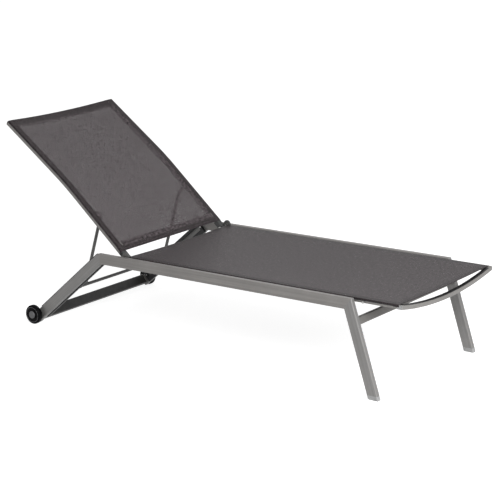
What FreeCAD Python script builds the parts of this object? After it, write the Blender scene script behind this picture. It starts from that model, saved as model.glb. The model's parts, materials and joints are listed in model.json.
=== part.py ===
import FreeCAD, Part
import math
import os
from FreeCAD import Vector, Placement, Rotation

# Reclining sun lounger: a powder-coated aluminium frame with mesh slings.
# Each side is a rail with a front leg mitred to it and a rear leg that slopes down to a wheel.
# A narrower seat frame is screwed between the rails. The backrest turns on two hinge bolts
# and leans on a prop that stands in a toothed rack on each rear leg.
#
# Everything is modelled in the deck's frame first: X runs from the head corner of the rails
# to the foot end, Y from the near side to the far side, Z is 0 on top of the rails.
# stand() then tilts the finished pieces onto the floor.

# ---- driving dimensions, in millimetres and degrees ----
frame_width = 660.0          # over the outer faces of the two rails
rail_length = 1142.1         # between the sharp outer corners of a side frame
deck_tilt = 0.708            # the deck rises towards the foot end
origin_from_corner = 421.94   # from the head corner of the rails to the middle of the overall length

rail_deep = 40.0             # rails and legs, seen from the side
rail_wide = 20.0             # rails and legs, across the lounger
rail_corner = 4.0            # outside corner radius of that tube
rail_wall = 1.6
rear_bend_radius = 16.0      # rounding over the head corner of the rails

front_leg_lean = 17.3        # from square to the rail, foot forwards
foot_cap_height = 16.0
foot_cap_edge = 3.0          # rounding under the cap
foot_cap_plug = 22.0         # how far the cap reaches up inside the leg

rear_leg_slope = 39.6        # below the line of the rail
rear_leg_length = 452.5      # along its upper edge
rear_plug_flange = 2.5
rear_plug_depth = 32.0

rear_bar_deep = 40.0
rear_bar_thick = 18.0        # along the leg
rear_bar_proud = 5.0         # above the upper edge of the legs
front_bar_deep = 28.0
front_bar_thick = 20.0
front_bar_drop = 84.0        # from the top of the rails to the middle of the bar

wheel_radius = 37.5
wheel_width = 20.0
tyre_thick = 6.5
tyre_shoulder = 6.0          # the tread is rounded over by this much on each side
hub_cap_radius = 14.5
hub_cap_thick = 2.6
hub_cap_proud = 4.5          # past the outer side of the wheel
hub_cap_round = 3.0
hub_web = 13.4               # thickness of the wheel around its axle
axle_radius = 4.0
axle_head_radius = 7.0
axle_head_thick = 3.4
axle_from_leg_end = 9.5      # along the rear leg
axle_below_edge = 6.2        # from the upper edge of the rear leg
axle_end_gap = 1.0           # from the inner wall of the rear leg
wheel_washer_thick = 1.7
wheel_washer_radius = 9.0
hub_groove_deep = 2.0
hub_groove_inside = 4.0      # from the hub cap
hub_groove_outside = 3.0     # from the tyre

seat_tube_deep = 15.0
seat_tube_wide = 25.0
seat_tube_corner = 3.0
seat_tube_wall = 1.6
seat_side_gap = 8.0          # between a rail and the seat's side tube
seat_drop = 1.5              # from the top of the rails to the top of the seat tubes
seat_start_gap = 28.0        # from the hinge axis to the seat's side tubes
seat_length = 1193.3         # from the hinge axis to the inner face of the foot bow

bow_deep = 15.0
bow_thick = 20.0             # of the foot bow, along the lounger
head_tube_thick = 15.0
bow_corner = 2.5
bow_wall = 1.4
bow_bends = 12                # a bowed tube is bent in this many short lengths
foot_bow_sag = 31.0
head_tube_sag = 26.0
head_tube_from_hinge = 66.0
bow_trim_thick = 1.4
bow_trim_gap = 0.1
bow_plug_cover = 1.5
bow_plug_depth = 14.0

hinge_from_corner = 113.3
hinge_drop = 12.5            # from the top of the rails to the hinge axis
hinge_bolt_radius = 4.0
hinge_head_radius = 7.0
hinge_head_thick = 3.6
hinge_bolt_grip = 5.0        # how far the bolt reaches into the rail
hinge_plate_thick = 4.0
hinge_plate_round = 16.0     # radius around the bolt and at the top of the ear
hinge_ear_forward = 9.0      # from the bolt to the middle of the ear's round top
hinge_ear_hole = 3.5
hinge_plate_tail = 62.0
hinge_plate_tail_deep = 20.0
hinge_spacer_radius = 9.0

back_side_gap = 11.0         # between a rail and the backrest's side tube
back_tube_deep = 20.0
back_tube_wide = 25.0
back_angle = 41.05           # of the lower run above the rail, at rest
back_bend = 5.0               # the upper run leans further back
back_bend_radius = 1330.0
back_lower_run = 331.0       # from the hinge axis to the bend
back_length = 744.0          # from the hinge axis to the top edge
back_end_past_hinge = 13.0
back_end_cover = 2.0         # plastic cover on the lower end of a side tube
back_plug_depth = 26.0
bottom_tube_from_hinge = 54.0
bottom_tube_deep = 20.0
bottom_tube_wide = 20.0
top_tube_sag = 10.0

sling_thick = 1.2
top_sling_sag = 8.0          # of the backrest's sling, along its top edge
sag_start_past_bend = 20.0
seat_sling_sag = 4.0         # between the side tubes
sling_wrap = 3.0             # how far the sling reaches down the outer side of its tubes
seat_hem_from_hinge = 18.0
seat_sling_past_bow = 8.0    # foot hem, from the inner face of the bow
back_hem_from_hinge = 31.0
keder_radius = 1.2

prop_rod_radius = 6.2
prop_leg_inset = 40.4        # from the backrest's side tube to a leg of the prop
prop_pivot_along = 225.6     # along the backrest, from the hinge axis
prop_bend_radius = 24.0
prop_pin_reach = 14.0        # how far the prop's ends reach into the backrest's tubes
prop_bush_radius = 8.0       # inside the tube
prop_bush_flange_radius = 10.0
prop_bush_flange = 1.6
prop_seat_along = 225.3      # along the rear leg, where the prop stands
prop_seat_below = 27.0       # from the upper edge of the rear leg
prop_sleeve_radius = 8.0
prop_sleeve_length = 36.0

rack_thick = 10.0
rack_start = 22.0            # along the rear leg
rack_bar_gap = 20.0          # from the rack to the rear cross bar
rack_proud = 8.0             # above the upper edge of the leg
rack_below = 3.0             # past the lower edge of the leg
rack_top_rail = 11.0
rack_end_wall = 11.0
rack_notch_pitch = 46.0
rack_notch_deep = 9.0
rack_notches_above = 2       # notches above the one in use
rack_notches_below = 2
rack_notch_mouth = 2.6       # slant of a notch, in radii of the slot
rivet_radius = 3.0
rivet_head_radius = 5.0
rivet_head_thick = 1.5

screw_radius = 2.5
screw_head_radius = 4.5
screw_head_thick = 2.6
screw_below = 10.5           # from the top of the seat tubes
spacer_radius = 4.0
first_screw = 110.0          # seat screws, from the hinge axis
last_screw = 130.0           # seat screws, from the inner face of the foot bow

# ---- named clearances ----
sling_gap = 0.2              # between the sagging sling and the bowed tubes under it
turning_gap = 0.08           # radial, between a pin and what turns on it
side_gap = 0.3               # between faces that turn past each other
plug_gap = 0.2               # between a plug and the inside of its tube

# ---- worked out from the sizes above ----
rail_outer_y = frame_width / 2
rail_inner_y = rail_outer_y - rail_wide
seat_outer_y = rail_inner_y - seat_side_gap
seat_inner_y = seat_outer_y - seat_tube_wide
back_outer_y = rail_inner_y - back_side_gap
back_inner_y = back_outer_y - back_tube_wide
prop_leg_y = back_inner_y - prop_leg_inset
hinge = Vector(hinge_from_corner, 0, -hinge_drop)
bow_start = hinge_from_corner + seat_length
rack_inner_y = rail_inner_y - rack_thick
axle_along_leg = rear_leg_length - axle_from_leg_end
rear_bar_start = rear_leg_length + rear_plug_flange - rear_bar_thick     # along the rear leg
rack_end = rear_bar_start - rack_bar_gap
slope = math.radians(rear_leg_slope)
lean = math.radians(front_leg_lean)
leg_down = Vector(-math.cos(slope), 0, -math.sin(slope))      # down the rear leg
leg_square = Vector(math.sin(slope), 0, -math.cos(slope))     # from its upper to its lower edge
front_down = Vector(math.sin(lean), 0, -math.cos(lean))       # down the front leg
front_square = Vector(-math.cos(lean), 0, -math.sin(lean))    # from its front to its back edge
along_y = Vector(0, 1, 0)
far_away = 3000.0


def on_rear_leg(along, below, y=0.0):
    point = leg_down * along + leg_square * below
    return Vector(point.x, y, point.z)


def tilted(point):
    """Where a point of the deck's frame lies before the lounger is lifted onto the floor."""
    return Rotation(along_y, -deck_tilt).multVec(point)


axle_centre = on_rear_leg(axle_along_leg, axle_below_edge)
head_height = wheel_radius - tilted(axle_centre).z
standing = Placement(Vector(-origin_from_corner, 0, head_height), Rotation(along_y, -deck_tilt))


def stand(shape):
    placed = shape.copy()
    placed.Placement = standing.multiply(placed.Placement)
    return placed


# ---- basic shapes ----
def rounded_section(origin, across, upward, wide, deep, corner):
    """Rounded rectangle centred on origin, wide along across and deep along upward."""
    a, b = across * (wide / 2), upward * (deep / 2)
    ra, rb = across * corner, upward * corner
    corners = [(a * i + b * j, i, j) for i, j in ((1, 1), (-1, 1), (-1, -1), (1, -1))]
    edges = []
    arcs = []
    for point, i, j in corners:
        middle = point - ra * i - rb * j + (across * i + upward * j) * (corner / math.sqrt(2))
        first, last = point - rb * j, point - ra * i
        if i * j < 0:
            first, last = last, first
        arcs.append((origin + first, origin + middle, origin + last))
    for k, (first, middle, last) in enumerate(arcs):
        edges.append(Part.Arc(first, middle, last).toShape())
        edges.append(Part.LineSegment(last, arcs[(k + 1) % 4][0]).toShape())
    return Part.Wire(edges)


def swept(path, across, upward, wide, deep, corner, wall=0.0):
    """Tube, or solid bar when wall is 0, along a path of edges in a plane square to across."""
    start = path[0].firstVertex().Point
    spine = Part.Wire(path)

    def solid(w, d, r):
        section = rounded_section(start, across, upward, w, d, r)
        if len(path) == 1 and isinstance(path[0].Curve, Part.Line):
            run = path[0].lastVertex().Point - start
            return Part.Face(section).extrude(run)
        return spine.makePipeShell([section], True, False)

    outside = solid(wide, deep, corner)
    if not wall:
        return outside
    inner_corner = max(corner - wall, corner / 4)
    return outside.cut(solid(wide - 2 * wall, deep - 2 * wall, inner_corner))


def straight(start, end):
    return [Part.LineSegment(start, end).toShape()]


def beam(start, end, across, upward, wide, deep, corner, wall=0.0):
    return swept(straight(start, end), across, upward, wide, deep, corner, wall)


def rod(start, end, radius):
    run = end - start
    return Part.makeCylinder(radius, run.Length, start, run)


def ring(start, end, outer, inner):
    return rod(start, end, outer).cut(rod(start, end, inner))


def beyond(point, outward):
    """A block that fills everything on the outward side of a plane through point."""
    block = Part.makeBox(far_away, far_away, far_away, Vector(-far_away / 2, -far_away / 2, 0))
    block.Placement = Placement(point, Rotation(Vector(0, 0, 1), outward))
    return block


def prism(points, y_low, y_high):
    """Straight-sided outline in the XZ plane, pulled from y_low to y_high."""
    outline = [Vector(p.x, y_low, p.z) for p in points]
    return Part.Face(Part.makePolygon(outline + outline[:1])).extrude(along_y * (y_high - y_low))


def mirrored(shape):
    return shape.mirror(Vector(0, 0, 0), along_y)


nodes = {}


def add(name, shape):
    nodes[name] = stand(shape)


def add_pair(name, near):
    """near is the piece on the near side, at negative Y."""
    add(name + "_near", near)
    add(name + "_far", mirrored(near))


# ---- side frames: rail, front leg, rear leg ----
near_y = -(rail_outer_y - rail_wide / 2)
front_corner = Vector(rail_length, near_y, 0)
rail_mid_z = -rail_deep / 2
mitre_run = 2 * rail_deep
head_mitre = (Vector(1, 0, 0) + leg_down * -1).normalize()
foot_mitre = (Vector(1, 0, 0) + front_down).normalize()


def section_tube(start, end, upward):
    return beam(start, end, along_y, upward, rail_wide, rail_deep, rail_corner, rail_wall)


def head_corner_shaver():
    """What lies outside the rounding over the head corner."""
    turn = math.tan(slope / 2)
    centre = Vector(rear_bend_radius * turn, 0, -rear_bend_radius)
    reach = centre.x
    block = prism([Vector(reach, 0, 0), Vector(reach, 0, 2), Vector(-reach, 0, reach),
                   leg_down * reach - leg_square * 2, leg_down * reach, centre],
                  -rail_outer_y - 1, -rail_inner_y + 1)
    core = Part.makeCylinder(rear_bend_radius, rail_wide + 2,
                             Vector(centre.x, -rail_outer_y - 1, centre.z), along_y)
    return block.cut(core)


def side_rail():
    tube = section_tube(Vector(-mitre_run, near_y, rail_mid_z),
                        Vector(rail_length + mitre_run, near_y, rail_mid_z), Vector(0, 0, 1))
    tube = tube.cut(beyond(Vector(0, 0, 0), head_mitre * -1))
    tube = tube.cut(beyond(front_corner, foot_mitre))
    tube = tube.cut(head_corner_shaver())
    return tube.cut(hinge_bolt_hole()).cut(seat_screw_holes()).cut(hinge_rivets())


def rear_leg():
    middle = leg_square * (rail_deep / 2) + Vector(0, near_y, 0)
    tube = section_tube(middle - leg_down * mitre_run, middle + leg_down * rear_leg_length,
                        leg_square * -1)
    tube = tube.cut(beyond(Vector(0, 0, 0), head_mitre))
    return tube.cut(head_corner_shaver()).cut(axle_shank()).cut(rack_rivets())


def front_leg_outline(wall=0.0):
    """The front leg as a solid bar past the floor; wall shrinks it to the tube's inside."""
    middle = front_corner + front_square * (rail_deep / 2)
    length = head_height * 1.3
    return beam(middle - front_down * mitre_run, middle + front_down * length, along_y,
                front_square * -1, rail_wide - 2 * wall, rail_deep - 2 * wall,
                rail_corner - 0.6 * wall)


def above_floor(height):
    """Everything higher than height over the floor, in the deck's frame."""
    up = standing.inverse().Rotation.multVec(Vector(0, 0, 1))
    return beyond(standing.inverse().multVec(Vector(0, 0, height)), up)


def below_floor(height):
    down = standing.inverse().Rotation.multVec(Vector(0, 0, -1))
    return beyond(standing.inverse().multVec(Vector(0, 0, height)), down)


def front_leg():
    tube = front_leg_outline().cut(front_leg_outline(rail_wall))
    tube = tube.cut(beyond(front_corner, foot_mitre * -1))
    return tube.cut(below_floor(foot_cap_height))


def foot_cap():
    foot = front_leg_outline().cut(above_floor(foot_cap_height)).cut(below_floor(0))
    sole = [edge for edge in foot.Edges
            if max(abs(standing.multVec(v.Point).z) for v in edge.Vertexes) < 0.01]
    foot = foot.makeChamfer(foot_cap_edge, sole)
    plug = front_leg_outline(rail_wall + plug_gap)
    plug = plug.cut(above_floor(foot_cap_height + foot_cap_plug)).cut(below_floor(foot_cap_height))
    return foot.fuse(plug)


def rear_plug():
    middle = leg_square * (rail_deep / 2) + Vector(0, near_y, 0)
    end = middle + leg_down * rear_leg_length
    inside = 2 * (rail_wall + plug_gap)
    plug = beam(end - leg_down * rear_plug_depth, end, along_y, leg_square * -1,
                rail_wide - inside, rail_deep - inside, rail_corner / 2)
    flange = beam(end, end + leg_down * rear_plug_flange, along_y, leg_square * -1,
                  rail_wide, rail_deep, rail_corner)
    return plug.fuse(flange).cut(axle_shank())


# ---- cross bars ----
def rear_cross_bar():
    middle = on_rear_leg(rear_bar_start + rear_bar_thick / 2, rear_bar_deep / 2 - rear_bar_proud)
    return beam(middle - along_y * rail_inner_y, middle + along_y * rail_inner_y,
                leg_down, leg_square, rear_bar_thick, rear_bar_deep, rail_corner, rail_wall)


def front_cross_bar():
    down = (front_bar_drop - rail_deep / 2 * math.sin(lean)) / math.cos(lean)
    middle = Vector(rail_length, 0, 0) + front_square * (rail_deep / 2) + front_down * down
    return beam(middle - along_y * rail_inner_y, middle + along_y * rail_inner_y,
                front_square, front_down, front_bar_thick, front_bar_deep, rail_corner, rail_wall)


# ---- wheels ----
def at_wheel(y, out=0.0):
    return Vector(axle_centre.x, -(y + out), axle_centre.z)


wheel_inner_y = rail_outer_y + wheel_washer_thick + side_gap
wheel_outer_y = wheel_inner_y + wheel_width


def axle_shank():
    return rod(at_wheel(rail_inner_y + rail_wall + axle_end_gap),
               at_wheel(wheel_inner_y + hub_web + side_gap), axle_radius)


def wheel_axle():
    head_y = wheel_inner_y + hub_web + side_gap
    head = rod(at_wheel(head_y), at_wheel(head_y + axle_head_thick), axle_head_radius)
    return axle_shank().fuse(head)


def wheel_washer():
    return ring(at_wheel(rail_outer_y), at_wheel(rail_outer_y + wheel_washer_thick),
                wheel_washer_radius, axle_radius)


def wheel_body():
    rim = rod(at_wheel(wheel_inner_y), at_wheel(wheel_outer_y), wheel_radius - tyre_thick)
    pocket = rod(at_wheel(wheel_inner_y + hub_web), at_wheel(wheel_outer_y + 1), hub_cap_radius)
    bore = rod(at_wheel(wheel_inner_y - 1), at_wheel(wheel_outer_y), axle_radius + turning_gap)
    groove = ring(at_wheel(wheel_outer_y - hub_groove_deep), at_wheel(wheel_outer_y + 1),
                  wheel_radius - tyre_thick - hub_groove_outside,
                  hub_cap_radius + hub_groove_inside)
    return rim.cut(pocket).cut(bore).cut(groove)


def wheel_tyre():
    tyre = ring(at_wheel(wheel_inner_y), at_wheel(wheel_outer_y), wheel_radius,
                wheel_radius - tyre_thick)
    tread = [edge for edge in tyre.Edges
             if isinstance(edge.Curve, Part.Circle) and edge.Curve.Radius > wheel_radius - 0.01]
    return tyre.makeFillet(tyre_shoulder, tread)


def hub_cap():
    cap = rod(at_wheel(wheel_outer_y - hub_cap_thick), at_wheel(wheel_outer_y + hub_cap_proud),
              hub_cap_radius)
    rim = [edge for edge in cap.Edges if isinstance(edge.Curve, Part.Circle)
           and edge.Curve.Center.y < -wheel_outer_y]
    return cap.makeFillet(hub_cap_round, rim)


# ---- seat frame ----
seat_top_z = -seat_drop
seat_mid_z = seat_top_z - seat_tube_deep / 2
screw_z = seat_top_z - screw_below
seat_start_x = hinge_from_corner + seat_start_gap
seat_screw_x = [hinge_from_corner + first_screw,
                (hinge_from_corner + first_screw + bow_start - last_screw) / 2,
                bow_start - last_screw]


def seat_side_tube():
    y = -(seat_outer_y - seat_tube_wide / 2)
    tube = beam(Vector(seat_start_x, y, seat_mid_z), Vector(bow_start, y, seat_mid_z),
                along_y, Vector(0, 0, 1), seat_tube_wide, seat_tube_deep,
                seat_tube_corner, seat_tube_wall)
    return tube.cut(seat_screw_holes()).cut(seat_keder())


def seat_screw_holes():
    holes = [rod(Vector(x, -seat_inner_y + 1, screw_z),
                 Vector(x, -rail_inner_y - hinge_bolt_grip, screw_z), screw_radius)
             for x in seat_screw_x]
    return Part.makeCompound(holes)


def seat_screws():
    screws = []
    for x in seat_screw_x:
        shank = rod(Vector(x, -seat_inner_y, screw_z),
                    Vector(x, -rail_inner_y - hinge_bolt_grip, screw_z), screw_radius)
        head = rod(Vector(x, -seat_inner_y + screw_head_thick, screw_z),
                   Vector(x, -seat_inner_y, screw_z), screw_head_radius)
        screws.append(shank.fuse(head))
    return Part.makeCompound(screws + [mirrored(screw) for screw in screws])


def seat_spacers():
    spacers = [ring(Vector(x, -seat_outer_y, screw_z), Vector(x, -rail_inner_y, screw_z),
                    spacer_radius, screw_radius) for x in seat_screw_x]
    return Part.makeCompound(spacers + [mirrored(spacer) for spacer in spacers])


def bow_arc(half_span, sag, z):
    """Radius and centre height of an arc that hangs sag below its two ends."""
    radius = (half_span ** 2 + sag ** 2) / (2 * sag)
    return radius, z - sag + radius


def bowed_tube(x, half_span, sag, z, deep, wide, corner, wall):
    """Tube on a hanging arc, trimmed upright at half_span."""
    radius, centre_z = bow_arc(half_span, sag, z)
    reach = math.asin(half_span / radius) * 1.1

    def on_arc(share):
        angle = reach * share
        return Vector(x, radius * math.sin(angle), centre_z - radius * math.cos(angle))

    stops = [2 * k / bow_bends - 1 for k in range(bow_bends + 1)]
    path = [Part.Arc(on_arc(a), on_arc((a + b) / 2), on_arc(b)).toShape()
            for a, b in zip(stops, stops[1:])]
    upward = Vector(0, math.sin(reach), math.cos(reach))
    tube = swept(path, Vector(1, 0, 0), upward, wide, deep, corner, wall)
    for side in (-1, 1):
        tube = tube.cut(beyond(Vector(x, side * half_span, z), along_y * side))
    return tube


bow_mid_z = seat_top_z - sling_gap - bow_deep / 2
bow_half_span = seat_outer_y - bow_plug_cover


def foot_bow():
    return bowed_tube(bow_start + bow_thick / 2, bow_half_span, foot_bow_sag, bow_mid_z,
                      bow_deep, bow_thick, bow_corner, bow_wall)


def foot_bow_trim():
    """Black edging laid along the top of the foot bow."""
    radius, centre_z = bow_arc(bow_half_span, foot_bow_sag, bow_mid_z)
    under = radius - bow_deep / 2 - bow_trim_gap
    width = bow_thick - 2 * bow_corner
    centre = Vector(bow_start + bow_corner, 0, centre_z)
    band = Part.makeCylinder(under, width, centre, Vector(1, 0, 0))
    band = band.cut(Part.makeCylinder(under - bow_trim_thick, width, centre, Vector(1, 0, 0)))
    end_y = seat_outer_y - bow_thick
    window = Part.makeBox(width, 2 * end_y, 2 * foot_bow_sag,
                          Vector(centre.x, -end_y, bow_mid_z - 1.5 * foot_bow_sag))
    return band.common(window)


def foot_bow_plug():
    """Closes the open end of the foot bow, which stops short of it by the plug's cover."""
    x = bow_start + bow_thick / 2
    radius, centre_z = bow_arc(bow_half_span, foot_bow_sag, bow_mid_z)
    turn = math.asin(bow_half_span / radius)
    inward = Vector(0, math.cos(turn), -math.sin(turn))
    upward = Vector(0, math.sin(turn), math.cos(turn))
    end = Vector(x, -bow_half_span, bow_mid_z)
    inside = 2 * (bow_wall + plug_gap)
    plug = beam(end, end + inward * bow_plug_depth, Vector(1, 0, 0), upward,
                bow_thick - inside, bow_deep - inside, bow_corner / 2)
    cover = beam(end - along_y * bow_plug_cover, end, Vector(1, 0, 0), Vector(0, 0, 1),
                 bow_thick, bow_deep, bow_corner)
    return cover.fuse(plug.cut(beyond(end, along_y * -1)))


def seat_head_tube():
    return bowed_tube(hinge_from_corner + head_tube_from_hinge, seat_inner_y, head_tube_sag,
                      bow_mid_z, bow_deep, head_tube_thick, bow_corner, bow_wall)


# ---- slings ----
seat_hem_x = hinge_from_corner + seat_hem_from_hinge
seat_foot_hem_x = bow_start + seat_sling_past_bow
keder_z = seat_top_z - sling_wrap - keder_radius


def seat_keder():
    y = -seat_outer_y
    return rod(Vector(seat_start_x, y, keder_z), Vector(bow_start, y, keder_z), keder_radius)


def seat_sling():
    """Flat over the side tubes, sagging between them, with a flap down each outer side."""
    outer = seat_outer_y + sling_thick
    low = seat_top_z - sling_wrap
    high = seat_top_z + sling_thick

    def at(y, z):
        return Vector(seat_hem_x, y, z)

    def trough(z, half_span):
        return Part.Arc(at(-half_span, z), at(0, z - seat_sling_sag), at(half_span, z)).toShape()

    def lines(points):
        return [Part.LineSegment(a, b).toShape() for a, b in zip(points, points[1:])]

    upper = [at(seat_inner_y, high), at(outer, high), at(outer, low), at(seat_outer_y, low),
             at(seat_outer_y, seat_top_z), at(seat_inner_y, seat_top_z)]
    other = [Vector(p.x, -p.y, p.z) for p in reversed(upper)]
    edges = [trough(high, seat_inner_y), trough(seat_top_z, seat_inner_y)]
    outline = Part.Wire(Part.__sortEdges__(edges + lines(upper) + lines(other)))
    return Part.Face(outline).extrude(Vector(seat_foot_hem_x - seat_hem_x, 0, 0))


# ---- backrest ----
def back_point(along, forward, y=0.0):
    """A point on the backrest: along it from the hinge axis, forward of its tubes' middle."""
    lower = math.radians(back_angle)
    upper = math.radians(back_angle - back_bend)
    bend_length = back_bend_radius * math.radians(back_bend)
    run = min(along, back_lower_run)
    point = hinge + Vector(-math.cos(lower), 0, math.sin(lower)) * run
    angle = lower
    if along > back_lower_run:
        turned = min(along - back_lower_run, bend_length) / back_bend_radius
        centre = point - Vector(math.sin(lower), 0, math.cos(lower)) * back_bend_radius
        angle = lower - turned
        point = centre + Vector(math.sin(angle), 0, math.cos(angle)) * back_bend_radius
    if along > back_lower_run + bend_length:
        rest = along - back_lower_run - bend_length
        point = point + Vector(-math.cos(upper), 0, math.sin(upper)) * rest
    point = point + Vector(math.sin(angle), 0, math.cos(angle)) * forward
    return Vector(point.x, y, point.z)


def back_path(start, end, forward, y):
    """Path up the backrest: the lower run, the bend, and the upper run."""
    bend_end = back_lower_run + back_bend_radius * math.radians(back_bend)
    stops = [start, back_lower_run, (back_lower_run + bend_end) / 2, bend_end, end]
    a, b, c, d, e = [back_point(s, forward, y) for s in stops]
    return [Part.LineSegment(a, b).toShape(), Part.Arc(b, c, d).toShape(),
            Part.LineSegment(d, e).toShape()]


def back_band(start, end, behind, ahead, y_low, y_high):
    """Solid between two depths of the backrest, from y_low to y_high."""
    under = back_path(start, end, behind, y_low)
    over = back_path(start, end, ahead, y_low)
    closing = [Part.LineSegment(under[-1].lastVertex().Point, over[-1].lastVertex().Point),
               Part.LineSegment(over[0].firstVertex().Point, under[0].firstVertex().Point)]
    outline = Part.Wire(Part.__sortEdges__(under + over + [edge.toShape() for edge in closing]))
    return Part.Face(outline).extrude(along_y * (y_high - y_low))


def back_up_run(angle):
    return Vector(-math.cos(math.radians(angle)), 0, math.sin(math.radians(angle)))


def back_direction():
    """Up the backrest's lower run, and forward from it."""
    up_run = back_up_run(back_angle)
    return up_run, along_y.cross(up_run) * -1


def prop_pivot_hole(radius):
    centre = back_point(prop_pivot_along, 0)
    return rod(Vector(centre.x, -(back_inner_y + back_tube_wide / 2), centre.z),
               Vector(centre.x, -(back_inner_y - 5), centre.z), radius)


def hinge_hole():
    return rod(Vector(hinge.x, -back_outer_y - 1, hinge.z),
               Vector(hinge.x, -back_inner_y + 1, hinge.z), hinge_bolt_radius + turning_gap)


def back_side_tube():
    y = -(back_outer_y - back_tube_wide / 2)
    forward = back_direction()[1]
    tube = swept(back_path(-back_end_past_hinge, back_length, 0, y), along_y, forward,
                 back_tube_wide, back_tube_deep, seat_tube_corner, seat_tube_wall)
    corner = back_point(back_length, 0, -back_outer_y)
    up_run = back_up_run(back_angle - back_bend)
    tube = tube.cut(beyond(corner, (up_run + along_y).normalize()))
    tube = tube.cut(hinge_hole()).cut(prop_pivot_hole(prop_bush_radius))
    return tube.cut(back_keder())


def back_top_tube():
    """Bows back between the side tubes, and is mitred to them."""
    tube = bowed_tube(0, back_outer_y, top_tube_sag, -sling_gap, back_tube_deep, back_tube_wide,
                      seat_tube_corner, seat_tube_wall)
    upper = back_angle - back_bend
    tube.Placement = Placement(back_point(back_length - back_tube_wide / 2, 0),
                               Rotation(along_y, upper))
    corner = back_point(back_length, 0, -back_outer_y)
    spare = beyond(corner, (back_up_run(upper) + along_y).normalize() * -1)
    return tube.cut(spare).cut(mirrored(spare))


def back_bottom_tube():
    up_run, forward = back_direction()
    middle = back_point(bottom_tube_from_hinge + bottom_tube_wide / 2,
                        (back_tube_deep - bottom_tube_deep) / 2)
    return beam(middle - along_y * back_inner_y, middle + along_y * back_inner_y, up_run, forward,
                bottom_tube_wide, bottom_tube_deep, seat_tube_corner, seat_tube_wall)


def back_tube_plug():
    y = -(back_outer_y - back_tube_wide / 2)
    up_run, forward = back_direction()
    inside = 2 * (seat_tube_wall + plug_gap)
    end = back_point(-back_end_past_hinge, 0, y)
    plug = beam(end, end + up_run * back_plug_depth, along_y, forward,
                back_tube_wide - inside, back_tube_deep - inside, seat_tube_corner / 2)
    cover = beam(end - up_run * back_end_cover, end, along_y, forward,
                 back_tube_wide, back_tube_deep, seat_tube_corner)
    return plug.fuse(cover).cut(hinge_hole())


def back_keder():
    below_top = back_tube_deep / 2 - sling_wrap - keder_radius
    top = back_length - back_tube_wide
    path = back_path(back_hem_from_hinge, top, below_top, -back_outer_y)
    section = Part.Wire(Part.makeCircle(keder_radius, path[0].firstVertex().Point,
                                        back_direction()[0]))
    return Part.Wire(path).makePipeShell([section], True, False)


def back_sling():
    """Flat to just past the bend, then sagging more and more towards the top tube."""
    under = back_tube_deep / 2
    over = under + sling_thick
    outer = back_outer_y + sling_thick
    start, end = back_hem_from_hinge, back_length
    bend_end = back_lower_run + back_bend_radius * math.radians(back_bend)
    flat_end = bend_end + sag_start_past_bend
    strip = back_band(start, end, under, over, -outer, -back_inner_y)
    flap = back_band(start, end, under - sling_wrap, under, -outer, -back_outer_y)
    lower = back_band(start, flat_end, under, over, -back_inner_y, back_inner_y)

    def section(along, sag):
        low, high = [[back_point(along, forward - drop, y) for y, drop in (
            (-back_inner_y, 0), (0, sag), (back_inner_y, 0))] for forward in (under, over)]
        rows = [Part.Arc(*row) if sag else Part.LineSegment(row[0], row[2]) for row in (low, high)]
        sides = [Part.LineSegment(low[k], high[k]) for k in (0, 2)]
        return Part.Wire(Part.__sortEdges__([edge.toShape() for edge in rows + sides]))

    upper = Part.makeLoft([section(flat_end, 0), section(end, top_sling_sag)], True, True)
    return lower.fuse([upper, strip, mirrored(strip), flap, mirrored(flap)]).removeSplitter()


# ---- hinges ----
plate_inner_y = rail_inner_y - hinge_plate_thick


def hinge_point(y):
    return Vector(hinge.x, -y, hinge.z)


def hinge_bolt_hole():
    return rod(hinge_point(rail_inner_y - 1), hinge_point(rail_inner_y + hinge_bolt_grip),
               hinge_bolt_radius)


def hinge_plate():
    """Ear that stands up past the bolt, with a tail that is riveted to the rail."""
    top = Vector(hinge.x + hinge_ear_forward, 0, 0)
    aside = along_y.cross(top - hinge).normalize() * hinge_plate_round
    ear = prism([hinge + aside, top + aside, top - aside, hinge - aside],
                -rail_inner_y, -plate_inner_y)
    for middle in (hinge, top):
        ear = ear.fuse(rod(Vector(middle.x, -rail_inner_y, middle.z),
                           Vector(middle.x, -plate_inner_y, middle.z), hinge_plate_round))
    ear = ear.cut(rod(Vector(top.x, -rail_inner_y - 1, 0), Vector(top.x, -plate_inner_y + 1, 0),
                      hinge_ear_hole))
    tail = Part.makeBox(hinge_plate_tail, hinge_plate_thick, hinge_plate_tail_deep,
                        Vector(hinge.x, -rail_inner_y, hinge.z - hinge_plate_tail_deep / 2))
    plate = ear.fuse(tail).removeSplitter()
    bolt = rod(hinge_point(rail_inner_y + 1), hinge_point(plate_inner_y - 1), hinge_bolt_radius)
    return plate.cut(bolt).cut(Part.makeCompound([plate_rivet(x) for x in plate_rivet_x]))


plate_rivet_x = [hinge_from_corner + hinge_plate_tail * share for share in (0.5, 0.84)]


def plate_rivet(x):
    z = -hinge_drop
    shank = rod(Vector(x, -(rail_inner_y + rail_wall), z), Vector(x, -plate_inner_y, z),
                rivet_radius)
    head = rod(Vector(x, -plate_inner_y, z), Vector(x, -plate_inner_y + rivet_head_thick, z),
               rivet_head_radius)
    return shank.fuse(head)


def hinge_rivets():
    rivets = [plate_rivet(x) for x in plate_rivet_x]
    return Part.makeCompound(rivets + [mirrored(rivet) for rivet in rivets])


def hinge_bolt():
    shank = rod(hinge_point(rail_inner_y + hinge_bolt_grip), hinge_point(back_inner_y - side_gap),
                hinge_bolt_radius)
    head = rod(hinge_point(back_inner_y - side_gap),
               hinge_point(back_inner_y - side_gap - hinge_head_thick), hinge_head_radius)
    return shank.fuse(head)


def hinge_spacer():
    return ring(hinge_point(plate_inner_y), hinge_point(back_outer_y + side_gap),
                hinge_spacer_radius, hinge_bolt_radius)


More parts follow.
